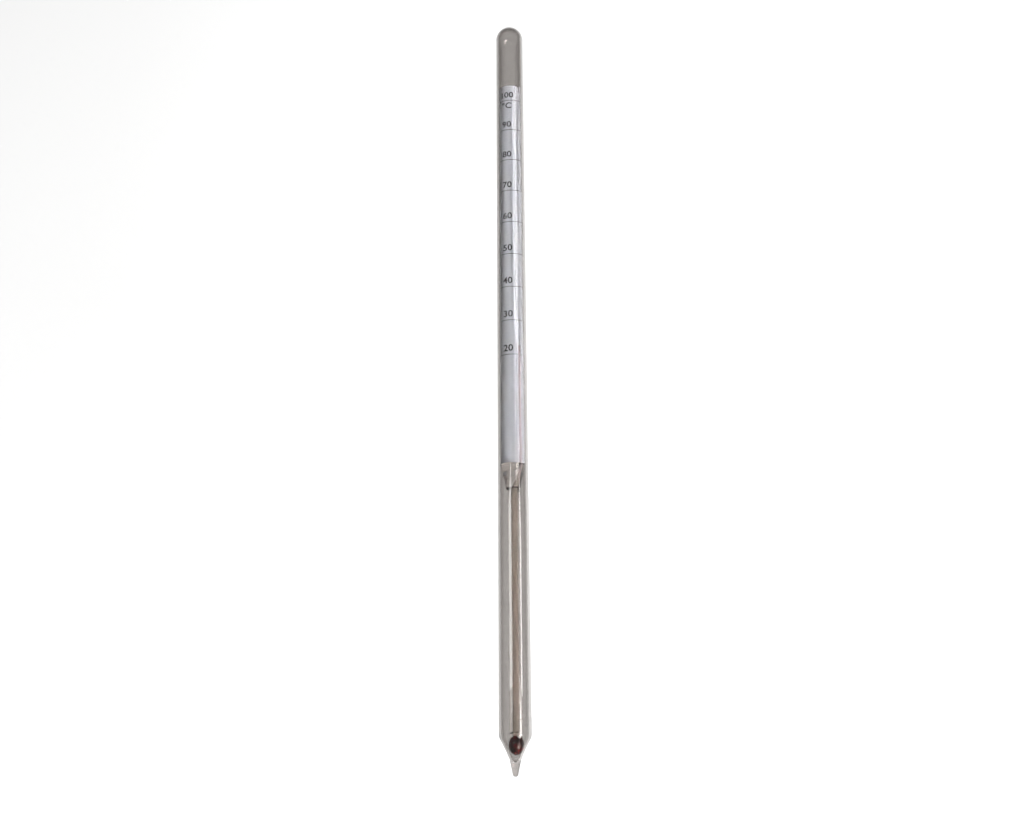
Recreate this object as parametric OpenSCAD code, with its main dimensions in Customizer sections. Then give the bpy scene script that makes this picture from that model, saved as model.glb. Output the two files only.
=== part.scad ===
// Enclosed-scale spirit thermometer for the darkroom, lying on its side.
// Each part is drawn standing on the drawn tip, with its length along +Z, and
// laid() then turns it: the length runs along +Y with the tip towards -Y, and the
// scale faces +Z. The origin is on the axis, in the middle of the straight barrel,
// where a clip holds the tube. Heights named _s are measured along the tube from
// the outside of the tip.

/* [Sheath] */
// Overall length, from the tip to the top of the dome
overall_l = 300; // [295:1:320]
// Outside diameter of the sheath tube
sheath_d = 11; // [10.9:0.1:11.4]
// Wall of the sheath tube
sheath_wall = 0.8; // [0.7:0.05:0.85]
// Height at which the drawn cone reaches the full diameter
barrel_s = 13.2; // [13:0.1:14]
// Height of the neck, where the cone meets the solid nipple
neck_s = 5.2; // [4.9:0.1:5.3]
// Diameter at the neck
neck_d = 3.7; // [3.6:0.1:4]
// Radius of the rounded end of the nipple
tip_r = 1; // [0.8:0.05:1.1]
// Wall of the drawn cone
cone_wall = 0.6; // [0.5:0.05:0.62]

/* [Scale] */
// Height of the lowest printed mark
low_mark_s = 150.6; // [148:0.1:152]
// Length of one degree on the scale
degree_l = 1.415; // [1.38:0.005:1.43]
// Temperature that the thermometer reads, in degrees Celsius
reading_t = 22; // [5:0.5:100]
// Height of the lower edge of the paper
paper_low_s = 107; // [105:0.5:109]
// Height of the upper edge of the paper
paper_high_s = 270.9; // [268:0.1:271]
// Width of the paper strip, straight across from edge to edge
paper_w = 8.9; // [8.5:0.05:8.95]
// Radius to which the strip is bent, on its printed face
paper_bend_r = 5.4; // [5.3:0.05:5.6]
// How far the middle of the printed face stands in front of the tube's axis
paper_crown = 1.1; // [0.8:0.05:1.1]
// Thickness of the paper
paper_t = 0.2; // [0.15:0.01:0.25]

/* [Stem and capillary] */
// Diameter of the thick lower stem
stem_d = 4.4; // [4:0.1:4.4]
// Sideways place of the bulb and lower stem
stem_x = 0.35; // [0.2:0.01:0.36]
// Diameter of the thin upper capillary
capillary_d = 2.7; // [2.4:0.1:2.7]
// Distance of the capillary from the middle of the sheath
capillary_reach = 3.3; // [3.2:0.01:3.32]
// Bearing of the capillary, in degrees from +X towards the scale's face
capillary_bearing = 37; // [32:1:42]
// Height of the glass seat under the paper
seat_h = 8.5; // [7:0.1:10]
// Diameter of the top of the glass seat
seat_d = 9.2; // [9:0.05:9.25]
// Diameter of the capillary's bore
bore_d = 0.8; // [0.6:0.05:0.9]
// Diameter of the lower stem's wider bore, which adds to what the bulb holds
stem_bore_d = 1.6; // [1.2:0.1:1.8]
// Diameter of the expansion chamber
chamber_d = 1.5; // [1.2:0.1:1.6]
// Height at which the expansion chamber begins
chamber_s = 266; // [265.8:0.1:266.2]
// Length of the expansion chamber
chamber_l = 4; // [3:0.1:4.2]

/* [Bulb] */
// Outside diameter of the bulb
bulb_d = 5.1; // [4.8:0.05:5.1]
// Length that the bulb would have without the stem
bulb_l = 6.5; // [6.2:0.1:6.6]
// Height of the middle of the bulb
bulb_s = 10.1; // [10:0.05:10.5]
// Wall of the bulb
bulb_wall = 0.35; // [0.3:0.05:0.4]
// Height of the weld between the bulb and the stem
weld_s = 14; // [13.8:0.1:15]

/* [Fit] */
// Radial gap left between the spirit and the glass
film = 0.04; // [0.03:0.01:0.06]

/* [Hidden] */

round_n = 96;              // sides of a round glass part
fine_n = 48;               // sides of a bore or a column of spirit
arc_n = 8;                 // steps in a quarter of a rounded outline
cut = 1;                   // how far a cutting shape passes the faces it cuts
low_mark_t = 20;           // temperature of the lowest mark, in degrees Celsius

sheath_r = sheath_d / 2;
bore_r = bore_d / 2;
stem_bore_r = stem_bore_d / 2;
spirit_r = bore_r - film;
stem_spirit_r = stem_bore_r - film;
stem_r = stem_d / 2;
capillary_r = capillary_d / 2;
dome_s = overall_l - sheath_r;
shoulder_r = 0.965 * sheath_r;      // where the cone rounds into the barrel
shoulder_s = barrel_s - 1.0;
seat_low_s = paper_low_s - seat_h;
seat_low_r = stem_r + stem_x + 0.05;
meniscus_s = low_mark_s + (reading_t - low_mark_t) * degree_l;
capillary_top_s = chamber_s + chamber_l + 1.2;

// Where the bore runs: up the stem, across the seat, then up the capillary.
bore_foot = [stem_x, 0, seat_low_s];
bore_head = [capillary_reach * cos(capillary_bearing),
             -capillary_reach * sin(capillary_bearing), paper_low_s];

// Turns a part from standing on its tip to lying along +Y.
module laid() {
    rotate([-90, 0, 0])
        translate([0, 0, -(barrel_s + dome_s) / 2])
            children();
}

// A tapered bar from radius ra at point a to rb at point b, lengthened by extra at both ends.
module bar(a, b, ra, rb, extra) {
    run = b - a;
    l = norm(run);
    more = (rb - ra) * extra / l;
    translate(a)
        rotate([0, acos(run[2] / l), atan2(run[1], run[0])])
            translate([0, 0, -extra])
                cylinder(h = l + 2 * extra, r1 = ra - more, r2 = rb + more, $fn = fine_n);
}

// Points of an arc in the outline plane, from angle a0 to angle a1.
function arc(middle_s, rx, ry, a0, a1, n) =
    [for (i = [0 : n]) let (a = a0 + (a1 - a0) * i / n) [rx * cos(a), middle_s + ry * sin(a)]];

// Outline of the outside, from the tip up the cone to the foot of the dome.
function outer_outline() = concat(
    [[0, 0]],
    arc(tip_r, tip_r, tip_r, -75, 0, 5),
    [[neck_d / 2, neck_s], [shoulder_r, shoulder_s], [sheath_r, barrel_s],
     [sheath_r, dome_s], [0, dome_s]]);

// Outline of the hollow, which keeps the cone's wall down to the neck.
function inner_outline() = concat(
    [[0, neck_s - 0.8], [0.7 * (neck_d / 2 - cone_wall), neck_s - 0.4],
     [neck_d / 2 - cone_wall + 0.05, neck_s + 0.4],
     [shoulder_r - cone_wall - 0.15, shoulder_s],
     [sheath_r - sheath_wall, barrel_s + 0.3]],
    [[sheath_r - sheath_wall, dome_s], [0, dome_s]]);

// The outer glass: tube, dome, drawn cone and nipple, closed all round.
module sheath() {
    color([0.75, 0.77, 0.76, 0.35])
        laid()
            difference() {
                union() {
                    rotate_extrude($fn = round_n) polygon(outer_outline());
                    translate([0, 0, dome_s]) sphere(r = sheath_r, $fn = round_n);
                }
                rotate_extrude($fn = round_n) polygon(inner_outline());
                translate([0, 0, dome_s]) sphere(r = sheath_r - sheath_wall, $fn = round_n);
            }
}

// The bent strip of printed paper, whose printed face bulges towards the reader.
module scale_paper() {
    h = paper_high_s - paper_low_s;
    half = asin(paper_w / 2 / paper_bend_r);
    reach = sheath_d;
    color([0.86, 0.86, 0.84])
        laid()
            translate([0, paper_bend_r - paper_crown, paper_low_s])
                rotate([0, 0, -90])
                    intersection() {
                        difference() {
                            cylinder(h = h, r = paper_bend_r, $fn = round_n);
                            translate([0, 0, -cut])
                                cylinder(h = h + 2 * cut, r = paper_bend_r - paper_t, $fn = round_n);
                        }
                        translate([0, 0, -cut])
                            linear_extrude(height = h + 2 * cut)
                                polygon([[0, 0], [reach, -reach * tan(half)], [reach, reach * tan(half)]]);
                    }
}

// The thin upper tube with its finer bore, expansion chamber and sealed top.
module capillary() {
    chamber_r = chamber_d / 2;
    color([0.8, 0.84, 0.84, 0.5])
        laid()
            translate([bore_head[0], bore_head[1], 0])
                difference() {
                    union() {
                        translate([0, 0, paper_low_s])
                            cylinder(h = capillary_top_s - paper_low_s, r = capillary_r, $fn = fine_n);
                        translate([0, 0, capillary_top_s]) sphere(r = capillary_r, $fn = fine_n);
                    }
                    translate([0, 0, paper_low_s - cut])
                        cylinder(h = chamber_s - paper_low_s + 2 * cut, r = bore_r, $fn = fine_n);
                    translate([0, 0, chamber_s + chamber_r])
                        cylinder(h = chamber_l - 2 * chamber_r, r = chamber_r, $fn = fine_n);
                    translate([0, 0, chamber_s + chamber_r]) sphere(r = chamber_r, $fn = fine_n);
                    translate([0, 0, chamber_s + chamber_l - chamber_r]) sphere(r = chamber_r, $fn = fine_n);
                }
}

// The glass cone that carries the paper and leads the bore across to one side.
module scale_seat() {
    color([0.7, 0.76, 0.74, 0.6])
        laid()
            difference() {
                translate([0, 0, seat_low_s])
                    cylinder(h = seat_h, r1 = seat_low_r, r2 = seat_d / 2, $fn = round_n);
                bar(bore_foot, bore_head, stem_bore_r, bore_r, cut);
            }
}

// The thick stem between the bulb and the seat.
module lower_stem() {
    color([0.78, 0.74, 0.72, 0.6])
        laid()
            translate([stem_x, 0, weld_s])
                difference() {
                    cylinder(h = seat_low_s - weld_s, r = stem_r, $fn = round_n);
                    translate([0, 0, -cut])
                        cylinder(h = seat_low_s - weld_s + 2 * cut, r = stem_bore_r, $fn = fine_n);
                }
}

// A solid ovoid with a straight neck on top, for the bulb and for its spirit.
module ovoid(width, length, neck_r) {
    a = width / 2;
    b = length / 2;
    meet = acos(neck_r / a);
    outline = concat(arc(0, a, b, -90, meet, 2 * arc_n),
                     [[neck_r, weld_s - bulb_s], [0, weld_s - bulb_s]]);
    translate([stem_x, 0, bulb_s])
        rotate_extrude($fn = round_n) polygon(outline);
}

// The blown glass bulb, hollow and open into the stem's bore.
module bulb() {
    color([0.72, 0.66, 0.66, 0.6])
        laid()
            difference() {
                ovoid(bulb_d, bulb_l, stem_r);
                ovoid(bulb_d - 2 * bulb_wall, bulb_l - 2 * bulb_wall, stem_bore_r);
            }
}

// The dyed spirit that fills the bulb up to the weld.
module bulb_spirit() {
    color([0.25, 0.04, 0.04])
        laid()
            ovoid(bulb_d - 2 * (bulb_wall + film), bulb_l - 2 * (bulb_wall + film), stem_spirit_r);
}

// The spirit that always fills the bore of the lower stem.
module stem_spirit() {
    color([0.8, 0.45, 0.47])
        laid()
            translate([stem_x, 0, weld_s])
                cylinder(h = seat_low_s - weld_s, r = stem_spirit_r, $fn = fine_n);
}

// The spirit that always fills the slanting bore of the seat, which narrows upwards.
module seat_spirit() {
    color([0.8, 0.45, 0.47])
        laid()
            intersection() {
                bar(bore_foot, bore_head, stem_spirit_r, spirit_r, cut);
                translate([-sheath_r, -sheath_r, seat_low_s])
                    cube([sheath_d, sheath_d, seat_h]);
            }
}

// The thread in the capillary, whose top is the meniscus that is read.
module spirit_thread() {
    color([0.85, 0.4, 0.43])
        laid()
            translate([bore_head[0], bore_head[1], paper_low_s])
                cylinder(h = meniscus_s - paper_low_s, r = spirit_r, $fn = fine_n);
}

sheath();
scale_paper();
capillary();
scale_seat();
lower_stem();
bulb();
bulb_spirit();
stem_spirit();
seat_spirit();
spirit_thread();
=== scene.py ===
"""Adds an enclosed-scale darkroom thermometer, with a pale floor, soft lights and a camera."""

import math

import bmesh
import bpy
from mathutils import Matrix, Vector


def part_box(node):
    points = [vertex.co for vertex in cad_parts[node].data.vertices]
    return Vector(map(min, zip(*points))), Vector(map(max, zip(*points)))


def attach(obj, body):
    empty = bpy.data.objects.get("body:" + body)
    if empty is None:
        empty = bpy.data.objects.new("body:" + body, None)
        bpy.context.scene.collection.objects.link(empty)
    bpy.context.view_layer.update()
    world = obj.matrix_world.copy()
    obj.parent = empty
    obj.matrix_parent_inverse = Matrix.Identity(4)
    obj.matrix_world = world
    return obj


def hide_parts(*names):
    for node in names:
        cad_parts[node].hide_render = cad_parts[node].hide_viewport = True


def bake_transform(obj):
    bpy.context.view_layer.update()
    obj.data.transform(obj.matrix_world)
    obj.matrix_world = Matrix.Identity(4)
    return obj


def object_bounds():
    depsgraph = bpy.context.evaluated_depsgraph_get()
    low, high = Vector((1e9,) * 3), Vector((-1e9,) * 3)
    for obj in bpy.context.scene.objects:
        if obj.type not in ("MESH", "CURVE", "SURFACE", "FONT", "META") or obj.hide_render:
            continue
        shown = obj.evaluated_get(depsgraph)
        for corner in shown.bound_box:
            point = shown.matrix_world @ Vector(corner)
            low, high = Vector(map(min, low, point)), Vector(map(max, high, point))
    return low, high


bl_info = {
    "name": "Darkroom Thermometer",
    "version": (1, 0, 0),
    "blender": (4, 5, 0),
    "location": "3D View > Sidebar > Thermometer",
    "description": "Adds a glass darkroom thermometer with a paper scale and a red spirit thread",
    "category": "Add Mesh",
}

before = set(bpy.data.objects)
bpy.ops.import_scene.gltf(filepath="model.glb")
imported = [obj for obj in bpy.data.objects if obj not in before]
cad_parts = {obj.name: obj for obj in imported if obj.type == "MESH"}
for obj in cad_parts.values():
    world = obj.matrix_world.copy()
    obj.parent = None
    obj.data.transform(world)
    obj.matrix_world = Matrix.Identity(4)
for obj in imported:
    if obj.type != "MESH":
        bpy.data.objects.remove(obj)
CAD_LOW, CAD_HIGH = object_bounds()

MM = 0.001
BODY = "thermometer"

LATHE_SIDES = 128
BORE_SIDES = 32
# Steps from one point of a rounded outline to the next
CURVE_STEPS = 6
# A point of an outline that is nearer the axis than this is a pole
POLE_RADIUS = 1e-6 * MM
# Edges that bend more than this stay crisp
SHARP = math.radians(35)

# The bulb as blown, without the stem that runs into it
BULB_HALF_LENGTH = 3.25 * MM
BULB_WALL = 0.35 * MM
# Film of clearance that the CAD leaves between the spirit and the glass
FILM = 0.04 * MM

# Temperatures printed on the scale, in degrees Celsius
LOWEST_MARK = 20
HIGHEST_MARK = 100
LONG_MARK_EVERY = 10
MIDDLE_MARK_EVERY = 5
# What the thread shows at rest
REST_READING = 22

# The softbox and the strip lights, in metres, with each strip's share of the strips' glow
KEY_PLACE = (1.0, -0.5, 1.18)
KEY_SIZE = (1.3, 0.7)
STRIPS = (
    ("right_strip", (1.5, 0.32, 1.18), (0.52, 0.5), 1.9),
    ("left_strip", (-0.58, 0.21, 1.18), (0.54, 0.38), 1.0),
)
FLOOR_HALF_WIDTH = 2.0


# ---------------------------------------------------------------- the frame


def along(node):
    """The lowest and highest place of a CAD node along the tube."""
    low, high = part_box(node)
    return low.y, high.y


def axis_of(node):
    """The place of a round CAD node's axis, as x and z."""
    low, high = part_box(node)
    return (low.x + high.x) / 2, (low.z + high.z) / 2


def radius_of(node):
    """Half the width of a CAD node."""
    low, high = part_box(node)
    return (high.x - low.x) / 2


def linear(hex_colour):
    """An sRGB colour such as '#8A6F5B' as a linear RGB tuple."""
    digits = hex_colour.lstrip("#")
    channels = [int(digits[i : i + 2], 16) / 255 for i in (0, 2, 4)]
    return tuple(c / 12.92 if c <= 0.04045 else ((c + 0.055) / 1.055) ** 2.4 for c in channels)


# ---------------------------------------------------------------- settings


class ThermometerGlass(bpy.types.PropertyGroup):
    """Sizes and colours of the glass; the sheath's grey is painted shade."""

    wall: bpy.props.FloatProperty(
        name="Sheath wall",
        description="Wall of the outer tube",
        default=0.8 * MM,
        min=0.5 * MM,
        unit="LENGTH",
    )
    cone_length: bpy.props.FloatProperty(
        name="Cone length",
        description="Length of the nipple and the cone, from the tip to the full tube",
        default=13.2 * MM,
        unit="LENGTH",
    )
    # The sheath's grey tint is painted shade: it stands in for the darker ground seen through the clear tube,
    # and it dims the paper inside as well.
    tint: bpy.props.FloatVectorProperty(
        name="Sheath tint",
        description="Colour of the outer tube",
        size=3,
        subtype="COLOR",
        default=linear("#C3C0BE"),
    )
    # The nipple's deeper grey is the same painted shade, deepened where the glass is solid.
    nipple_tint: bpy.props.FloatVectorProperty(
        name="Nipple tint",
        description="Colour of the solid nipple",
        size=3,
        subtype="COLOR",
        default=linear("#A5A09D"),
    )
    stem_tint: bpy.props.FloatVectorProperty(
        name="Stem tint",
        description="Colour of the bulb, stem and seat",
        size=3,
        subtype="COLOR",
        default=linear("#FAF6F2"),
    )
    capillary_tint: bpy.props.FloatVectorProperty(
        name="Capillary tint",
        description="Colour of the capillary",
        size=3,
        subtype="COLOR",
        default=linear("#FDFCFC"),
    )
    capillary_index: bpy.props.FloatProperty(
        name="Capillary index",
        description="Refractive index of the capillary, below real glass so that it stays faint on the paper",
        default=1.1,
        min=1.0,
    )


class ThermometerScale(bpy.types.PropertyGroup):
    """Sizes and colours of the printed scale."""

    bend: bpy.props.FloatProperty(
        name="Bend radius",
        description="Radius to which the paper is bent, on its printed face",
        default=5.4 * MM,
        unit="LENGTH",
    )
    thickness: bpy.props.FloatProperty(
        name="Paper", description="Thickness of the paper", default=0.2 * MM, unit="LENGTH"
    )
    degree: bpy.props.FloatProperty(
        name="Degree", description="Length of one degree Celsius", default=1.415 * MM, unit="LENGTH"
    )
    long_mark: bpy.props.FloatProperty(
        name="Long marks",
        description="Length of the marks at every 10 degrees",
        default=9.2 * MM,
        unit="LENGTH",
    )
    numeral_height: bpy.props.FloatProperty(
        name="Numerals", description="Height of the numerals", default=2.65 * MM, unit="LENGTH"
    )
    paper_colour: bpy.props.FloatVectorProperty(
        name="Paper colour",
        description="Colour of the paper",
        size=3,
        subtype="COLOR",
        default=linear("#E4ECFA"),
    )
    ink_colour: bpy.props.FloatVectorProperty(
        name="Ink colour",
        description="Colour of the printing",
        size=3,
        subtype="COLOR",
        default=linear("#28282C"),
    )


class ThermometerSpirit(bpy.types.PropertyGroup):
    """Colours of the dyed spirit; the wider column's pale brown is partly painted shade."""

    bulb_colour: bpy.props.FloatVectorProperty(
        name="Bulb",
        description="Colour of the spirit in the bulb",
        size=3,
        subtype="COLOR",
        default=linear("#580C0C"),
    )
    thread_colour: bpy.props.FloatVectorProperty(
        name="Thread",
        description="Colour of the thin thread",
        size=3,
        subtype="COLOR",
        default=linear("#F6EAEE"),
    )
    # The column's pale brown is partly the dye and partly painted shade, standing in for the shaded ground
    # seen through the stem.
    stem_colour: bpy.props.FloatVectorProperty(
        name="Stem",
        description="Colour of the wider column",
        size=3,
        subtype="COLOR",
        default=linear("#CDC4BC"),
    )


class ThermometerStage(bpy.types.PropertyGroup):
    """The camera, floor and lights."""

    camera_place: bpy.props.FloatVectorProperty(
        name="Camera place",
        description="Where the camera stands",
        size=3,
        subtype="TRANSLATION",
        default=(0.0, -0.19582, 0.41574),
    )
    camera_turn: bpy.props.FloatVectorProperty(
        name="Camera turn",
        description="How the camera is turned",
        size=3,
        subtype="EULER",
        default=(math.radians(22.348), math.radians(0.207), math.radians(-0.447)),
    )
    ambient: bpy.props.FloatProperty(
        name="Ambient", description="Strength of the light from all round", default=0.25
    )
    key_power: bpy.props.FloatProperty(
        name="Key", description="Power of the softbox in watts", default=96.0
    )
    strip_glow: bpy.props.FloatProperty(
        name="Strips", description="Glow of the two strip lights", default=5.4
    )
    drop: bpy.props.FloatProperty(
        name="Drop",
        description="How far the floor lies below the thermometer",
        default=250 * MM,
        unit="LENGTH",
    )
    lens: bpy.props.FloatProperty(name="Lens", description="Focal length in millimetres", default=43.37)
    floor_colour: bpy.props.FloatVectorProperty(
        name="Floor colour",
        description="Colour of the floor",
        size=3,
        subtype="COLOR",
        default=linear("#C0C0C0"),
    )


# ---------------------------------------------------------------- materials


def put(tree, kind, sockets=None, **settings):
    """Adds a node, sets its settings, and links or sets the sockets given."""
    node = tree.nodes.new(kind)
    for name, value in settings.items():
        setattr(node, name, value)
    for name, value in (sockets or {}).items():
        if isinstance(value, bpy.types.NodeSocket):
            tree.links.new(value, node.inputs[name])
        else:
            node.inputs[name].default_value = value
    return node


def new_material(name):
    """An empty node material and its tree."""
    material = bpy.data.materials.new(name)
    material.use_nodes = True
    material.node_tree.nodes.clear()
    return material, material.node_tree


def close_material(tree, shader):
    """Links the shader to a new output node."""
    put(tree, "ShaderNodeOutputMaterial", {"Surface": shader.outputs["BSDF"]})


def object_pattern(tree, scale):
    """Object coordinates stretched by a scale along each axis."""
    place = put(tree, "ShaderNodeTexCoord")
    stretched = put(tree, "ShaderNodeMapping", {"Vector": place.outputs["Object"], "Scale": scale})
    return stretched.outputs["Vector"]


def drawn_glass(name, tint, streak=0.045, index=1.5, solid_tint=None, solid_below=0.0, walled_above=0.0):
    """Soda-lime glass drawn from the furnace: smooth and clear, with faint long streaks; the sheath's grey
    tint is painted shade.

    Where solid_tint is given, the glass is solid below one place along the tube and has walls above
    another, and its colour deepens between them, because light crosses more of it there.
    """
    material, tree = new_material(name)
    streaks = put(
        tree,
        "ShaderNodeTexNoise",
        # Streaks are about 1 mm across and 50 mm long
        {"Vector": object_pattern(tree, (1 / MM, 0.02 / MM, 1 / MM)), "Scale": 1.0, "Detail": 2.0},
    )
    bump = put(
        tree, "ShaderNodeBump", {"Height": streaks.outputs["Fac"], "Strength": streak, "Distance": 0.05 * MM}
    )
    shader = put(
        tree,
        "ShaderNodeBsdfPrincipled",
        {
            "Base Color": (*tint, 1.0),
            "Roughness": 0.015,
            "IOR": index,
            "Transmission Weight": 1.0,
            "Normal": bump.outputs["Normal"],
        },
    )
    if solid_tint:
        # Light that crosses a wall aslant passes through more glass, so the rims are deeper too, and the
        # painted shade of the tint deepens with them
        aslant = put(
            tree,
            "ShaderNodeMapRange",
            {
                "Value": put(tree, "ShaderNodeLayerWeight", {"Blend": 0.5}).outputs["Facing"],
                "From Min": 0.25,
                "From Max": 0.5,
            },
        )
        walls = put(
            tree,
            "ShaderNodeMix",
            {0: aslant.outputs["Result"], 6: (*tint, 1.0), 7: (*(c * c for c in tint), 1.0)},
            data_type="RGBA",
        )
        place = put(tree, "ShaderNodeSeparateXYZ", {0: put(tree, "ShaderNodeTexCoord").outputs["Object"]})
        share = put(
            tree,
            "ShaderNodeMapRange",
            {"Value": place.outputs["Y"], "From Min": solid_below, "From Max": walled_above},
            interpolation_type="SMOOTHSTEP",
        )
        colour = put(
            tree,
            "ShaderNodeMix",
            {0: share.outputs["Result"], 6: (*solid_tint, 1.0), 7: walls.outputs[2]},
            data_type="RGBA",
        )
        tree.links.new(colour.outputs[2], shader.inputs["Base Color"])
    close_material(tree, shader)
    return material


def wetted_wall():
    """The wall of a bore that spirit fills or wets: glass meets liquid, so nothing bends there."""
    material, tree = new_material("wetted_bore_wall")
    shader = put(
        tree,
        "ShaderNodeBsdfPrincipled",
        {"Base Color": (1.0, 1.0, 1.0, 1.0), "Roughness": 0.0, "IOR": 1.0, "Transmission Weight": 1.0},
    )
    close_material(tree, shader)
    return material


def bulb_spirit_liquid(colour, neck_colour, weld):
    """Red-dyed spirit, so deep in the bulb that it looks nearly black, and paler in the narrow neck."""
    material, tree = new_material("dyed_spirit_deep")
    # The dye looks redder where the layer is thin, towards the neck
    clouds = put(tree, "ShaderNodeTexNoise", {"Vector": object_pattern(tree, (0.5 / MM,) * 3), "Scale": 1.0})
    shades = put(tree, "ShaderNodeValToRGB", {"Fac": clouds.outputs["Fac"]})
    shades.color_ramp.elements[0].position = 0.35
    shades.color_ramp.elements[0].color = (*(c * 0.6 for c in colour), 1.0)
    shades.color_ramp.elements[1].position = 0.7
    shades.color_ramp.elements[1].color = (*(min(1.0, c * 1.7) for c in colour), 1.0)
    place = put(tree, "ShaderNodeSeparateXYZ", {0: put(tree, "ShaderNodeTexCoord").outputs["Object"]})
    share = put(
        tree,
        "ShaderNodeMapRange",
        {"Value": place.outputs["Y"], "From Min": weld - 1.1 * MM, "From Max": weld - 0.7 * MM},
    )
    # Towards the neck the colour turns to the column's pale brown, which is partly painted shade.
    shade = put(
        tree,
        "ShaderNodeMix",
        {0: share.outputs["Result"], 6: shades.outputs["Color"], 7: (*neck_colour, 1.0)},
        data_type="RGBA",
    )
    shader = put(
        tree,
        "ShaderNodeBsdfPrincipled",
        {
            "Base Color": shade.outputs[2],
            "Roughness": 0.08,
            "IOR": 1.36,
            "Coat Weight": 0.1,
            "Coat Roughness": 0.02,
        },
    )
    close_material(tree, shader)
    return material


def thread_liquid(wide, fine, foot, head):
    """The same spirit in the bores: pale brown where it is wide, below foot, and pale pink above head; the
    pale brown is partly the dye and partly painted shade.
    """
    material, tree = new_material("dyed_spirit_thin")
    place = put(tree, "ShaderNodeSeparateXYZ", {0: put(tree, "ShaderNodeTexCoord").outputs["Object"]})
    share = put(tree, "ShaderNodeMapRange", {"Value": place.outputs["Y"], "From Min": foot, "From Max": head})
    colour = put(
        tree,
        "ShaderNodeMix",
        {0: share.outputs["Result"], 6: (*wide, 1.0), 7: (*fine, 1.0)},
        data_type="RGBA",
    )
    shader = put(
        tree,
        "ShaderNodeBsdfPrincipled",
        {"Base Color": colour.outputs[2], "Roughness": 0.3, "IOR": 1.0, "Transmission Weight": 0.4},
    )
    close_material(tree, shader)
    return material


def printed_paper(colour):
    """Uncoated rag paper: matt, with faint fibres and a little yellowing in clouds."""
    material, tree = new_material("uncoated_rag_paper")
    # Fibres are about 0.1 mm across, drawn 0.25 mm so that they show
    fibres = put(
        tree,
        "ShaderNodeTexNoise",
        {
            "Vector": object_pattern(tree, (4 / MM, 1.2 / MM, 4 / MM)),
            "Scale": 1.0,
            "Detail": 4.0,
            "Roughness": 0.7,
        },
    )
    clouds = put(
        tree,
        "ShaderNodeTexNoise",
        {"Vector": object_pattern(tree, (0.12 / MM,) * 3), "Scale": 1.0, "Detail": 2.0},
    )
    aged = put(tree, "ShaderNodeValToRGB", {"Fac": clouds.outputs["Fac"]})
    aged.color_ramp.elements[0].position = 0.3
    aged.color_ramp.elements[0].color = (colour[0], colour[1] * 0.985, colour[2] * 0.94, 1.0)
    aged.color_ramp.elements[1].position = 0.7
    aged.color_ramp.elements[1].color = (*colour, 1.0)
    flecks = put(
        tree,
        "ShaderNodeMix",
        {"Factor": 0.12, 6: aged.outputs["Color"], 7: fibres.outputs["Color"]},
        data_type="RGBA",
        blend_type="SOFT_LIGHT",
    )
    bump = put(
        tree, "ShaderNodeBump", {"Height": fibres.outputs["Fac"], "Strength": 0.25, "Distance": 0.02 * MM}
    )
    shader = put(
        tree,
        "ShaderNodeBsdfPrincipled",
        {"Base Color": flecks.outputs[2], "Roughness": 0.88, "IOR": 1.45, "Normal": bump.outputs["Normal"]},
    )
    close_material(tree, shader)
    return material


def printing_ink(colour):
    """Letterpress ink on paper: dull black, a little thin where the fibres stand up."""
    material, tree = new_material("letterpress_ink")
    cover = put(
        tree,
        "ShaderNodeTexNoise",
        {"Vector": object_pattern(tree, (3 / MM,) * 3), "Scale": 1.0, "Detail": 3.0},
    )
    shades = put(tree, "ShaderNodeValToRGB", {"Fac": cover.outputs["Fac"]})
    shades.color_ramp.elements[0].position = 0.4
    shades.color_ramp.elements[0].color = (*colour, 1.0)
    shades.color_ramp.elements[1].position = 0.85
    shades.color_ramp.elements[1].color = (*(c * 2.6 for c in colour), 1.0)
    shader = put(
        tree,
        "ShaderNodeBsdfPrincipled",
        {"Base Color": shades.outputs["Color"], "Roughness": 0.6, "IOR": 1.5},
    )
    close_material(tree, shader)
    return material


def painted_floor(colour):
    """Matt painted board for the floor, with a trace of roller texture."""
    material, tree = new_material("matt_painted_board")
    texture = put(tree, "ShaderNodeTexNoise", {"Vector": object_pattern(tree, (0.3 / MM,) * 3), "Scale": 1.0})
    bump = put(
        tree, "ShaderNodeBump", {"Height": texture.outputs["Fac"], "Strength": 0.03, "Distance": 0.1 * MM}
    )
    shader = put(
        tree,
        "ShaderNodeBsdfPrincipled",
        {"Base Color": (*colour, 1.0), "Roughness": 0.9, "Normal": bump.outputs["Normal"]},
    )
    close_material(tree, shader)
    return material


# ---------------------------------------------------------------- mesh tools


def circle(r, y, x, z, turn):
    """Points of a circle about an axis along Y."""
    return [(x + r * math.cos(a), y, z + r * math.sin(a)) for a in turn]


def full_turn(sides):
    """The angles of the corners of a ring."""
    return [2 * math.pi * i / sides for i in range(sides)]


def turned(name, shells, materials):
    """Turns closed shells about axes along Y.

    A shell is a list of stretches (material number, centre, points): a centre is (x, z) and a point
    is (radius, y). The outline runs round the glass with the glass on its left, so that faces point
    out of it, and a point of no radius is a pole. A strip takes the number of the stretch it runs to.
    """
    shape = bmesh.new()
    turn = full_turn(LATHE_SIDES)
    for shell in shells:
        rings = []
        for number, (x, z), points in shell:
            for r, y in points:
                places = [(x, y, z)] if r < POLE_RADIUS else circle(r, y, x, z, turn)
                rings.append((number, [shape.verts.new(place) for place in places]))
        closed = len(rings[0][1]) > 1
        for (_, a), (number, b) in zip(rings, rings[1:] + (rings[:1] if closed else [])):
            for i in range(LATHE_SIDES if len(a) + len(b) > 2 else 0):
                j = (i + 1) % LATHE_SIDES
                corners = [a[i % len(a)], b[i % len(b)], b[j % len(b)], a[j % len(a)]]
                face = shape.faces.new(list(dict.fromkeys(corners)))
                face.smooth = True
                face.material_index = number
    shape.normal_update()
    for edge in shape.edges:
        if edge.calc_face_angle(0) > SHARP:
            edge.smooth = False
    return to_object(name, shape, materials)


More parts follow.
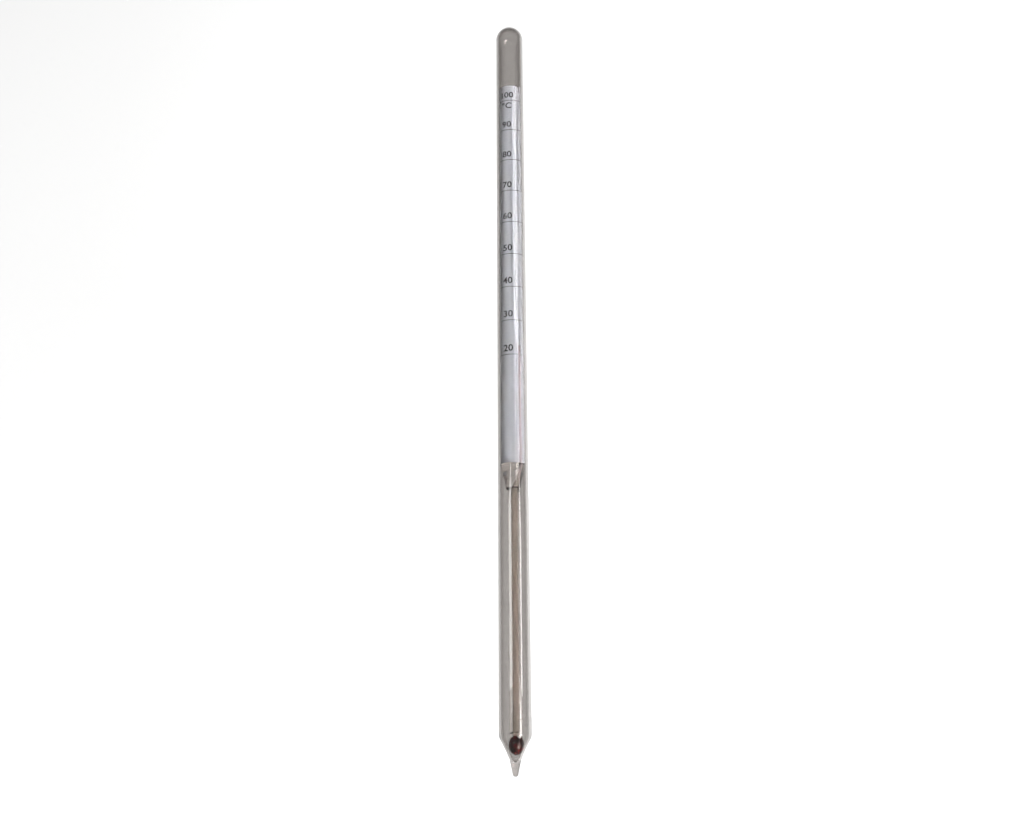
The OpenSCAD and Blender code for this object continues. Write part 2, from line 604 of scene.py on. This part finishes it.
def to_object(name, shape, materials):
    """Makes an object at the origin from a bmesh."""
    mesh = bpy.data.meshes.new(name)
    shape.to_mesh(mesh)
    shape.free()
    piece = bpy.data.objects.new(name, mesh)
    bpy.context.scene.collection.objects.link(piece)
    for material in materials:
        mesh.materials.append(material)
    return piece


def between(a, b, c, d, t):
    """The Catmull-Rom curve through four numbers, at share t of the way from the second to the third."""
    bend = 2 * a - 5 * b + 4 * c - d
    twist = 3 * b - a - 3 * c + d
    return 0.5 * (2 * b + (c - a) * t + bend * t**2 + twist * t**3)


def rounded(points):
    """A smooth curve through the points, by Catmull-Rom, with the end points kept."""
    ends = [points[0], *points, points[-1]]
    curve = []
    for four in zip(ends, ends[1:], ends[2:], ends[3:]):
        for step in range(CURVE_STEPS):
            curve.append(tuple(between(*numbers, step / CURVE_STEPS) for numbers in zip(*four)))
    return curve + [points[-1]]


def arc(middle, rx, ry, start, end, steps):
    """Points of an ellipse about (0, middle), as (radius, y), from angle start to end in degrees."""
    turn = [math.radians(start + (end - start) * i / steps) for i in range(steps + 1)]
    return [(max(0.0, rx * math.cos(a)), middle + ry * math.sin(a)) for a in turn]


def hold(piece, body, slot, *nodes):
    """Says which body a piece rides on and which CAD nodes it stands for, whose parts it hides; the slot is
    not used.
    """
    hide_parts(*nodes)
    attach(piece, body)
    return piece


# ---------------------------------------------------------------- geometry nodes


def add_sockets(tree, sockets):
    """Gives a geometry tree its inputs, and one geometry output."""
    for name, kind in sockets:
        tree.interface.new_socket(name=name, in_out="INPUT", socket_type=kind)
    tree.interface.new_socket(name="Geometry", in_out="OUTPUT", socket_type="NodeSocketGeometry")
    return put(tree, "NodeGroupInput").outputs


def maths(tree, operation, *values):
    """One Math node for numbers or sockets, and its output."""
    return put(tree, "ShaderNodeMath", dict(enumerate(values)), operation=operation).outputs[0]


def every(tree, number, count):
    """True for each number that the count divides."""
    return maths(tree, "COMPARE", maths(tree, "MODULO", number, float(count)), 0.0, 0.1)


def choice(tree, condition, otherwise, value):
    """The value where the condition is true, and the other number elsewhere."""
    switch = put(tree, "GeometryNodeSwitch", {0: condition, 1: otherwise, 2: value}, input_type="FLOAT")
    return switch.outputs[0]


def wrap_group():
    """A node group that bends flat geometry over the paper: x goes round, y along, z out from the face."""
    tree = bpy.data.node_groups.get("wrap_on_paper")
    if tree:
        return tree
    tree = bpy.data.node_groups.new("wrap_on_paper", "GeometryNodeTree")
    given = add_sockets(
        tree, [("Geometry", "NodeSocketGeometry"), ("Bend", "NodeSocketFloat"), ("Crown", "NodeSocketFloat")]
    )
    place = put(tree, "ShaderNodeSeparateXYZ", {0: put(tree, "GeometryNodeInputPosition").outputs[0]}).outputs
    angle = maths(tree, "DIVIDE", place["X"], given["Bend"])
    reach = maths(tree, "ADD", given["Bend"], place["Z"])
    side = maths(tree, "MULTIPLY", reach, maths(tree, "SINE", angle))
    rise = maths(tree, "MULTIPLY", reach, maths(tree, "COSINE", angle))
    height = maths(tree, "ADD", rise, maths(tree, "SUBTRACT", given["Crown"], given["Bend"]))
    bent = put(tree, "ShaderNodeCombineXYZ", {"X": side, "Y": place["Y"], "Z": height})
    moved = put(tree, "GeometryNodeSetPosition", {"Geometry": given["Geometry"], "Position": bent.outputs[0]})
    put(tree, "NodeGroupOutput", {0: moved.outputs[0]})
    return tree


def wrapped(tree, geometry, given):
    """Adds the wrap group to a tree, after the geometry."""
    node = put(tree, "GeometryNodeGroup", node_tree=wrap_group())
    for name, value in (("Geometry", geometry), ("Bend", given["Bend"]), ("Crown", given["Crown"])):
        tree.links.new(value, node.inputs[name])
    return node.outputs[0]


def run_nodes(piece, tree, values):
    """Runs a geometry tree on a piece and keeps the result as its plain mesh."""
    modifier = piece.modifiers.new(tree.name, "NODES")
    modifier.node_group = tree
    for item in tree.interface.items_tree:
        if item.item_type == "SOCKET" and item.in_out == "INPUT" and item.name in values:
            modifier[item.identifier] = values[item.name]
    bpy.context.view_layer.update()
    ready = piece.evaluated_get(bpy.context.evaluated_depsgraph_get())
    mesh = bpy.data.meshes.new_from_object(ready)
    piece.modifiers.clear()
    piece.data = mesh
    mesh.name = piece.name
    return piece


def empty_piece(name):
    """A new mesh object with nothing in it."""
    return to_object(name, bmesh.new(), [])


# ---------------------------------------------------------------- operators


class AddSheath(bpy.types.Operator):
    """Adds the outer glass tube with its dome, drawn cone and nipple"""

    bl_idname = "thermometer.add_sheath"
    bl_label = "Sheath"

    def execute(self, context):
        """Turns the outside and the hollow as two closed outlines."""
        glass = context.scene.thermometer_glass
        tip, top = along("sheath")
        outer_r = radius_of("sheath")
        inner_r = outer_r - glass.wall
        dome = top - outer_r
        shoulder = tip + glass.cone_length
        tip_r = 1.0 * MM
        # The nipple and the cone, then the hollow in them, as (radius, height above the tip) in mm
        outside = [(1.0, 1.0), (1.33, 2.7), (1.6, 3.9), (1.88, 5.2)]
        outside += [(2.42, 6.5), (3.55, 8.9), (4.78, 11.3), (5.3, 12.4)]
        inside = [(0.0, 4.5), (0.6, 4.65), (1.0, 5.1), (1.38, 5.8)]
        inside += [(1.78, 6.6), (2.88, 8.9), (4.1, 11.3), (4.56, 12.4)]
        nipple = arc(tip + tip_r, tip_r, tip_r, -90, -8, 8)
        cone = rounded([(r * MM, tip + h * MM) for r, h in outside] + [(outer_r, shoulder + 0.3 * MM)])
        hollow = rounded([(r * MM, tip + h * MM) for r, h in inside] + [(inner_r, shoulder + 0.6 * MM)])
        barrel = [shoulder + (dome - shoulder) * i / 12 for i in range(1, 12)]
        outer = nipple + cone + [(outer_r, y) for y in barrel] + arc(dome, outer_r, outer_r, 0, 90, 24)
        inner = hollow + [(inner_r, y) for y in barrel] + arc(dome, inner_r, inner_r, 0, 90, 24)
        outer[-1] = (0.0, outer[-1][1])
        inner[-1] = (0.0, inner[-1][1])
        axis = axis_of("sheath")
        piece = turned(
            "sheath_glass",
            [[(0, axis, outer)], [(0, axis, inner[::-1])]],
            [
                # The tube's grey is painted shade for the ground seen through it, deeper at the solid nipple.
                drawn_glass(
                    "drawn_soda_lime_glass",
                    glass.tint,
                    solid_tint=glass.nipple_tint,
                    solid_below=tip + 4.2 * MM,
                    walled_above=tip + 5.6 * MM,
                )
            ],
        )
        hold(piece, BODY, "sheath_glass", "sheath")
        return {"FINISHED"}


class AddStemGlass(bpy.types.Operator):
    """Adds the bulb, the lower stem, the seat and the capillary"""

    bl_idname = "thermometer.add_stem_glass"
    bl_label = "Bulb, stem, seat and capillary"

    def execute(self, context):
        """Turns each of the four inner glass pieces."""
        glass = context.scene.thermometer_glass
        clear = drawn_glass("drawn_capillary_glass", glass.stem_tint, streak=0.03)
        wetted = wetted_wall()
        thin = drawn_glass(
            "drawn_fine_capillary_glass", glass.capillary_tint, streak=0.03, index=glass.capillary_index
        )
        fine_r = radius_of("spirit_thread") + FILM
        wide_r = radius_of("stem_spirit") + FILM
        self.add_bulb(clear, wetted, wide_r)
        self.add_lower_stem(clear, wetted, wide_r)
        self.add_seat(clear, wetted, wide_r, fine_r)
        self.add_capillary(thin, wetted, fine_r)
        return {"FINISHED"}

    def add_bulb(self, clear, wetted, bore_r):
        """The blown bulb, from its round foot to its weld with the stem."""
        low, weld = along("bulb")
        half_w = radius_of("bulb")
        stem_r = radius_of("lower_stem")
        middle = low + BULB_HALF_LENGTH
        meet = math.degrees(math.acos(stem_r / half_w))
        meet_in = math.degrees(math.acos(bore_r / (half_w - BULB_WALL)))
        outside = arc(middle, half_w, BULB_HALF_LENGTH, -90, meet, 32) + [(stem_r, weld)]
        inside = arc(middle, half_w - BULB_WALL, BULB_HALF_LENGTH - BULB_WALL, -90, meet_in, 32)
        inside.append((bore_r, weld))
        axis = axis_of("bulb")
        piece = turned("bulb_glass", [[(0, axis, outside), (1, axis, inside[::-1])]], [clear, wetted])
        hold(piece, BODY, "stem_glass", "bulb")

    def add_lower_stem(self, clear, wetted, bore_r):
        """The thick stem, whose two ends are fused to the bulb and the seat."""
        low, high = along("lower_stem")
        stem_r = radius_of("lower_stem")
        axis = axis_of("lower_stem")
        steps = [low + (high - low) * i / 10 for i in range(11)]
        outside = [(stem_r, y) for y in steps]
        bore = [(bore_r, y) for y in reversed(steps)]
        # The strip that closes the outline is the foot, which takes the first stretch's material
        shell = [(1, axis, outside[:1]), (0, axis, outside[1:]), (1, axis, bore)]
        piece = turned("lower_stem_glass", [shell], [clear, wetted])
        hold(piece, BODY, "stem_glass", "lower_stem")

    def add_seat(self, clear, wetted, foot_bore, head_bore):
        """The glass cone under the paper, whose bore slants across to the capillary."""
        low, high = along("scale_seat")
        length = high - low
        top_r = radius_of("scale_seat")
        # The foot reaches just past the stem, which stands a little to one side
        foot_r = radius_of("lower_stem") + axis_of("lower_stem")[0] + 0.05 * MM
        axis = axis_of("scale_seat")
        foot = axis_of("lower_stem")
        head = axis_of("capillary")
        bevel = 0.25 * MM
        # Not quite halfway up, the cone has taken less than a third of its flare
        waist = (foot_r + 0.3 * (top_r - foot_r), low + 0.42 * length)
        side = rounded([(foot_r, low), waist, (top_r, high - bevel)]) + [(top_r - bevel, high)]
        slant = []
        for i in range(9):
            share = i / 8
            centre = tuple(h + (f - h) * share for h, f in zip(head, foot))
            bore_r = head_bore + (foot_bore - head_bore) * share
            slant.append((1, centre, [(bore_r, high - length * share)]))
        shell = [
            (1, axis, side[:1]),
            (0, axis, side[1:]),
            # The fused patches under the capillary and over the stem don't show
            (0, head, [(radius_of("capillary") - 0.15 * MM, high)]),
            *slant,
            (1, foot, [(radius_of("lower_stem"), low)]),
        ]
        piece = turned("scale_seat_glass", [shell], [clear, wetted])
        hold(piece, BODY, "stem_glass", "scale_seat")

    def add_capillary(self, clear, wetted, bore_r):
        """The thin tube beside the scale, with its expansion chamber and sealed end."""
        low, high = along("capillary")
        outer_r = radius_of("capillary")
        axis = axis_of("capillary")
        chamber_r = 0.75 * MM
        chamber_length = 4.0 * MM
        chamber_depth = 5.2 * MM
        chamber_low = high - outer_r - chamber_depth
        chamber_high = chamber_low + chamber_length
        head = arc(chamber_high - chamber_r, chamber_r, chamber_r, 90, 0, 12)
        neck = math.degrees(math.acos(bore_r / chamber_r))
        chamber = head + arc(chamber_low + chamber_r, chamber_r, chamber_r, 0, -neck, 10)
        outside = [(outer_r, low + (high - outer_r - low) * i / 16) for i in range(17)]
        dome = arc(high - outer_r, outer_r, outer_r, 0, 90, 12)[1:]
        bore = (1, axis, [(bore_r, low)])
        shell = [(0, axis, chamber), bore, (1, axis, outside[:1]), (0, axis, outside[1:] + dome)]
        piece = turned("capillary_glass", [shell], [clear, wetted])
        hold(piece, BODY, "stem_glass", "capillary")


class AddPaper(bpy.types.Operator):
    """Adds the bent strip of paper behind the capillary"""

    bl_idname = "thermometer.add_paper"
    bl_label = "Scale paper"

    def execute(self, context):
        """Bends a flat block over the paper's own radius."""
        scale = context.scene.thermometer_scale
        low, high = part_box("scale_paper")
        arc_w = 2 * scale.bend * math.asin((high.x - low.x) / 2 / scale.bend)
        tree = bpy.data.node_groups.new("bent_paper", "GeometryNodeTree")
        given = add_sockets(
            tree,
            [
                ("Size", "NodeSocketVector"),
                ("Middle", "NodeSocketVector"),
                ("Bend", "NodeSocketFloat"),
                ("Crown", "NodeSocketFloat"),
                ("Material", "NodeSocketMaterial"),
            ],
        )
        block = put(
            tree,
            "GeometryNodeMeshCube",
            {"Size": given["Size"], "Vertices X": 41, "Vertices Y": 61, "Vertices Z": 2},
        )
        placed = put(
            tree, "GeometryNodeTransform", {"Geometry": block.outputs["Mesh"], "Translation": given["Middle"]}
        )
        painted = put(
            tree,
            "GeometryNodeSetMaterial",
            {"Geometry": wrapped(tree, placed.outputs[0], given), "Material": given["Material"]},
        )
        put(tree, "NodeGroupOutput", {0: painted.outputs[0]})
        piece = run_nodes(
            empty_piece("scale_paper_strip"),
            tree,
            {
                "Size": (arc_w, high.y - low.y, scale.thickness),
                "Middle": (0.0, (high.y + low.y) / 2, -scale.thickness / 2),
                "Bend": scale.bend,
                "Crown": high.z,
                "Material": printed_paper(scale.paper_colour),
            },
        )
        hold(piece, BODY, "scale_paper", "scale_paper")
        return {"FINISHED"}


def mark_place(context, degrees):
    """Where a temperature's mark lies along the tube, from the top of the thread."""
    scale = context.scene.thermometer_scale
    return along("spirit_thread")[1] + (degrees - REST_READING) * scale.degree


class AddMarks(bpy.types.Operator):
    """Adds the printed marks of the scale, one for each degree"""

    bl_idname = "thermometer.add_marks"
    bl_label = "Scale marks"

    def execute(self, context):
        """Repeats three lengths of bar along the paper and bends them over it."""
        scale = context.scene.thermometer_scale
        ink = bpy.data.materials.get("letterpress_ink") or printing_ink(scale.ink_colour)
        tree = bpy.data.node_groups.new("scale_marks", "GeometryNodeTree")
        given = add_sockets(
            tree,
            [
                ("Count", "NodeSocketInt"),
                ("Start", "NodeSocketVector"),
                ("Step", "NodeSocketFloat"),
                ("Long", "NodeSocketFloat"),
                ("Middle", "NodeSocketFloat"),
                ("Short", "NodeSocketFloat"),
                ("Line", "NodeSocketFloat"),
                ("Hairline", "NodeSocketFloat"),
                ("Ink", "NodeSocketFloat"),
                ("Bend", "NodeSocketFloat"),
                ("Crown", "NodeSocketFloat"),
                ("Material", "NodeSocketMaterial"),
            ],
        )
        step = put(tree, "ShaderNodeCombineXYZ", {"Y": given["Step"]}).outputs[0]
        row = put(
            tree,
            "GeometryNodeMeshLine",
            {"Count": given["Count"], "Start Location": given["Start"], "Offset": step},
        )
        number = put(tree, "GeometryNodeInputIndex").outputs[0]
        is_long = every(tree, number, LONG_MARK_EVERY)
        is_middle = every(tree, number, MIDDLE_MARK_EVERY)
        short_or_middle = choice(tree, is_middle, given["Short"], given["Middle"])
        length = choice(tree, is_long, short_or_middle, given["Long"])
        width = choice(tree, is_long, given["Hairline"], given["Line"])
        size = put(tree, "ShaderNodeCombineXYZ", {"X": length, "Y": width, "Z": given["Ink"]})
        bar = put(
            tree,
            "GeometryNodeMeshCube",
            {"Size": (1.0, 1.0, 1.0), "Vertices X": 13, "Vertices Y": 2, "Vertices Z": 2},
        )
        bar_from_left = put(
            tree, "GeometryNodeTransform", {"Geometry": bar.outputs["Mesh"], "Translation": (0.5, 0.0, 0.5)}
        )
        bars = put(
            tree,
            "GeometryNodeInstanceOnPoints",
            {"Points": row.outputs[0], "Instance": bar_from_left.outputs[0], "Scale": size.outputs[0]},
        )
        solid = put(tree, "GeometryNodeRealizeInstances", {"Geometry": bars.outputs[0]})
        painted = put(
            tree,
            "GeometryNodeSetMaterial",
            {"Geometry": wrapped(tree, solid.outputs[0], given), "Material": given["Material"]},
        )
        put(tree, "NodeGroupOutput", {0: painted.outputs[0]})
        piece = run_nodes(
            empty_piece("scale_marks"),
            tree,
            {
                "Count": HIGHEST_MARK - LOWEST_MARK + 1,
                "Start": (-5.0 * MM, mark_place(context, LOWEST_MARK), 0.006 * MM),
                "Step": scale.degree,
                "Long": scale.long_mark,
                "Middle": 1.9 * MM,
                "Short": 1.2 * MM,
                "Line": 0.2 * MM,
                "Hairline": 0.1 * MM,
                "Ink": 0.02 * MM,
                "Bend": scale.bend,
                "Crown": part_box("scale_paper")[1].z,
                "Material": ink,
            },
        )
        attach(piece, BODY)
        return {"FINISHED"}


class AddNumerals(bpy.types.Operator):
    """Adds the printed numerals and the sign for degrees Celsius"""

    bl_idname = "thermometer.add_numerals"
    bl_label = "Scale numerals"

    def execute(self, context):
        """Makes each numeral flat, joins them, and bends them over the paper."""
        scale = context.scene.thermometer_scale
        ink = bpy.data.materials.get("letterpress_ink") or printing_ink(scale.ink_colour)
        middle = -1.4 * MM
        above = 1.4 * MM
        flat = bmesh.new()
        height = scale.numeral_height
        for degrees in range(LOWEST_MARK, HIGHEST_MARK + 1, LONG_MARK_EVERY):
            self.print_words(flat, str(degrees), middle, mark_place(context, degrees) + above, height)
        unit_drop = 1.1 * MM + height
        self.print_words(flat, "°C", middle, mark_place(context, HIGHEST_MARK) - unit_drop, height)
        piece = to_object("scale_numerals", flat, [ink])
        tree = bpy.data.node_groups.new("bent_numerals", "GeometryNodeTree")
        given = add_sockets(
            tree,
            [
                ("Geometry", "NodeSocketGeometry"),
                ("Bend", "NodeSocketFloat"),
                ("Crown", "NodeSocketFloat"),
                ("Material", "NodeSocketMaterial"),
            ],
        )
        joined = put(
            tree, "GeometryNodeMergeByDistance", {"Geometry": given["Geometry"], "Distance": 0.001 * MM}
        )
        fine = put(tree, "GeometryNodeSubdivideMesh", {"Mesh": joined.outputs[0], "Level": 1})
        painted = put(
            tree,
            "GeometryNodeSetMaterial",
            {"Geometry": wrapped(tree, fine.outputs[0], given), "Material": given["Material"]},
        )
        put(tree, "NodeGroupOutput", {0: painted.outputs[0]})
        run_nodes(piece, tree, {"Bend": scale.bend, "Crown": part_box("scale_paper")[1].z, "Material": ink})
        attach(piece, BODY)
        return {"FINISHED"}

    def print_words(self, flat, words, middle, foot, height):
        """Adds words to the flat mesh, centred on middle and standing on foot."""
        curve = bpy.data.curves.new(words, "FONT")
        curve.body = words
        # The built-in font's figures are 0.7 of its size, and the offset makes their strokes bolder
        curve.size = height / 0.7
        curve.offset = 0.06 * MM
        curve.extrude = 0.01 * MM
        curve.resolution_u = 3
        curve.align_x = "CENTER"
        text = bpy.data.objects.new(words, curve)
        bpy.context.scene.collection.objects.link(text)
        bpy.context.view_layer.update()
        mesh = bpy.data.meshes.new_from_object(text.evaluated_get(bpy.context.evaluated_depsgraph_get()))
        lift = 0.018 * MM
        for vertex in mesh.vertices:
            vertex.co += Vector((middle, foot, lift))
        flat.from_mesh(mesh)
        bpy.data.objects.remove(text)
        bpy.data.meshes.remove(mesh)


class AddSpirit(bpy.types.Operator):
    """Adds the spirit in the bulb and the column above it, which ends in the moving thread"""

    bl_idname = "thermometer.add_spirit"
    bl_label = "Spirit"

    def execute(self, context):
        """Makes the bulb's filling, and one column through stem, seat and capillary."""
        spirit = context.scene.thermometer_spirit
        self.add_filling(bulb_spirit_liquid(spirit.bulb_colour, spirit.stem_colour, along("bulb_spirit")[1]))
        self.add_column(thread_liquid(spirit.stem_colour, spirit.thread_colour, *along("scale_seat")))
        return {"FINISHED"}

    def add_filling(self, liquid):
        """The filling of the bulb, up to the weld."""
        low, weld = along("bulb_spirit")
        half_w = radius_of("bulb_spirit")
        neck_r = radius_of("stem_spirit")
        half_l = BULB_HALF_LENGTH - BULB_WALL - FILM
        meet = math.degrees(math.acos(neck_r / half_w))
        outline = arc(low + half_l, half_w, half_l, -90, meet, 32) + [(neck_r, weld), (0.0, weld)]
        piece = turned("bulb_filling", [[(0, axis_of("bulb_spirit"), outline)]], [liquid])
        hold(piece, BODY, "bulb_spirit", "bulb_spirit")

    def add_column(self, liquid):
        """A straight stretch in the stem, a slant in the seat and the thread in the capillary."""
        r = radius_of("spirit_thread")
        wide_r = radius_of("stem_spirit")
        stem_x, stem_z = axis_of("stem_spirit")
        side_x, side_z = axis_of("spirit_thread")
        foot, seat_low = along("stem_spirit")
        seat_high, meniscus = along("spirit_thread")
        rows = [(stem_x, foot + (seat_low - foot) * i / 8, stem_z, wide_r) for i in range(9)]
        rows += [
            (
                stem_x + (side_x - stem_x) * i / 6,
                seat_low + (seat_high - seat_low) * i / 6,
                stem_z + (side_z - stem_z) * i / 6,
                wide_r + (r - wide_r) * i / 6,
            )
            for i in range(1, 7)
        ]
        rows += [(side_x, seat_high + (meniscus - seat_high) * i / 24, side_z, r) for i in range(1, 25)]
        shape = bmesh.new()
        # The meniscus dips in the middle, as a wetting liquid's does, by these shares of the radius
        dips = ((0.85, 0.3), (0.6, 0.55), (0.3, 0.7))
        rows += [(side_x, meniscus - drop * r, side_z, width * r) for width, drop in dips]
        turn = full_turn(BORE_SIDES)
        rings = [[shape.verts.new(place) for place in circle(w, y, x, z, turn)] for x, y, z, w in rows]
        for a, b in zip(rings, rings[1:]):
            for i in range(BORE_SIDES):
                j = (i + 1) % BORE_SIDES
                shape.faces.new((a[i], b[i], b[j], a[j])).smooth = True
        shape.faces.new(rings[0])
        shape.faces.new(reversed(rings[-1]))
        bmesh.ops.recalc_face_normals(shape, faces=shape.faces)
        piece = to_object("spirit_column", shape, [liquid])
        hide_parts("stem_spirit", "seat_spirit", "spirit_thread")
        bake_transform(piece)


class AddStage(bpy.types.Operator):
    """Adds the floor, the lights and the camera"""

    bl_idname = "thermometer.add_stage"
    bl_label = "Floor, lights and camera"

    def execute(self, context):
        """Makes a pale floor, a softbox from the right, two strips, light from all round, and the camera."""
        stage = context.scene.thermometer_stage
        self.add_floor(stage)
        # The softbox is polarised: it lights the paper and the floor and leaves no glare on the glass
        key = self.add_softbox("key", KEY_PLACE, KEY_SIZE, stage.key_power)
        key.visible_glossy = False
        # The strips are weak ones overhead, whose reflections run along the glass of the lower half
        for name, place, size, share in STRIPS:
            self.add_strip(name, place, size, share * stage.strip_glow)
        self.add_world(context, stage)
        self.add_camera(context, stage)
        return {"FINISHED"}

    def add_floor(self, stage):
        """A wide flat floor, some way below the thermometer, which is held in the air."""
        half = FLOOR_HALF_WIDTH
        level = CAD_LOW.z - stage.drop
        shape = bmesh.new()
        corners = ((-half, -half), (half, -half), (half, half), (-half, half))
        shape.faces.new([shape.verts.new((x, y, level)) for x, y in corners])
        to_object("floor", shape, [painted_floor(stage.floor_colour)])

    def add_softbox(self, name, place, size, power):
        """A rectangular light that faces the thermometer."""
        light = bpy.data.lights.new(name, "AREA")
        light.shape = "RECTANGLE"
        light.size, light.size_y = size
        light.energy = power
        lamp = bpy.data.objects.new(name, light)
        lamp.location = place
        lamp.rotation_euler = (-Vector(place)).to_track_quat("-Z", "Y").to_euler()
        bpy.context.scene.collection.objects.link(lamp)
        return lamp

    def add_strip(self, name, place, size, glow):
        """A level rectangular light of an even glow."""
        lamp = self.add_softbox(name, place, size, glow * size[0] * size[1] * math.pi)
        lamp.rotation_euler = (0.0, 0.0, 0.0)

    def add_world(self, context, stage):
        """Even pale light from all round."""
        world = bpy.data.worlds.new("studio")
        world.use_nodes = True
        tree = world.node_tree
        tree.nodes.clear()
        pale = (*linear("#FFFFFD"), 1.0)
        sky = put(tree, "ShaderNodeBackground", {"Color": pale, "Strength": stage.ambient})
        put(tree, "ShaderNodeOutputWorld", {"Surface": sky.outputs[0]})
        context.scene.world = world
        context.scene.view_settings.view_transform = "Standard"
        # Light passes many walls of glass on its way to the bore and back, and is dimmed by limits set low
        context.scene.cycles.blur_glossy = 0.0
        context.scene.cycles.sample_clamp_indirect = 40.0
        context.scene.cycles.max_bounces = 24
        context.scene.cycles.transmission_bounces = 24

    def add_camera(self, context, stage):
        """The camera, above the tip's end and looking along the tube."""
        data = bpy.data.cameras.new("camera")
        data.lens = stage.lens
        data.clip_start = 0.01
        camera = bpy.data.objects.new("camera", data)
        camera.location = stage.camera_place
        camera.rotation_euler = stage.camera_turn
        context.scene.collection.objects.link(camera)
        context.scene.camera = camera


# ---------------------------------------------------------------- panel


class ThermometerPanel(bpy.types.Panel):
    """Lists the pieces of the thermometer in the sidebar"""

    bl_idname = "VIEW3D_PT_darkroom_thermometer"
    bl_label = "Darkroom Thermometer"
    bl_space_type = "VIEW_3D"
    bl_region_type = "UI"
    bl_category = "Thermometer"

    def draw(self, context):
        """Shows a button for each operator, and the settings below."""
        for operator in OPERATORS:
            self.layout.operator(operator.bl_idname)
        for group, _ in SETTINGS:
            box = self.layout.box()
            settings = getattr(context.scene, group)
            for name in settings.bl_rna.properties.keys():
                if name not in ("rna_type", "name"):
                    box.prop(settings, name)


SETTINGS = (
    ("thermometer_glass", ThermometerGlass),
    ("thermometer_scale", ThermometerScale),
    ("thermometer_spirit", ThermometerSpirit),
    ("thermometer_stage", ThermometerStage),
)
OPERATORS = (AddSheath, AddStemGlass, AddPaper, AddMarks, AddNumerals, AddSpirit, AddStage)


def register():
    """Registers the classes and gives the scene its settings."""
    for name, group in SETTINGS:
        bpy.utils.register_class(group)
        setattr(bpy.types.Scene, name, bpy.props.PointerProperty(type=group))
    for operator in OPERATORS:
        bpy.utils.register_class(operator)
    bpy.utils.register_class(ThermometerPanel)


def unregister():
    """Takes away what register() added."""
    bpy.utils.unregister_class(ThermometerPanel)
    for operator in reversed(OPERATORS):
        bpy.utils.unregister_class(operator)
    for name, group in reversed(SETTINGS):
        delattr(bpy.types.Scene, name)
        bpy.utils.unregister_class(group)


def main():
    register()
    for operator in OPERATORS:
        group, name = operator.bl_idname.split(".")
        getattr(getattr(bpy.ops, group), name)()


if __name__ == "__main__":
    main()
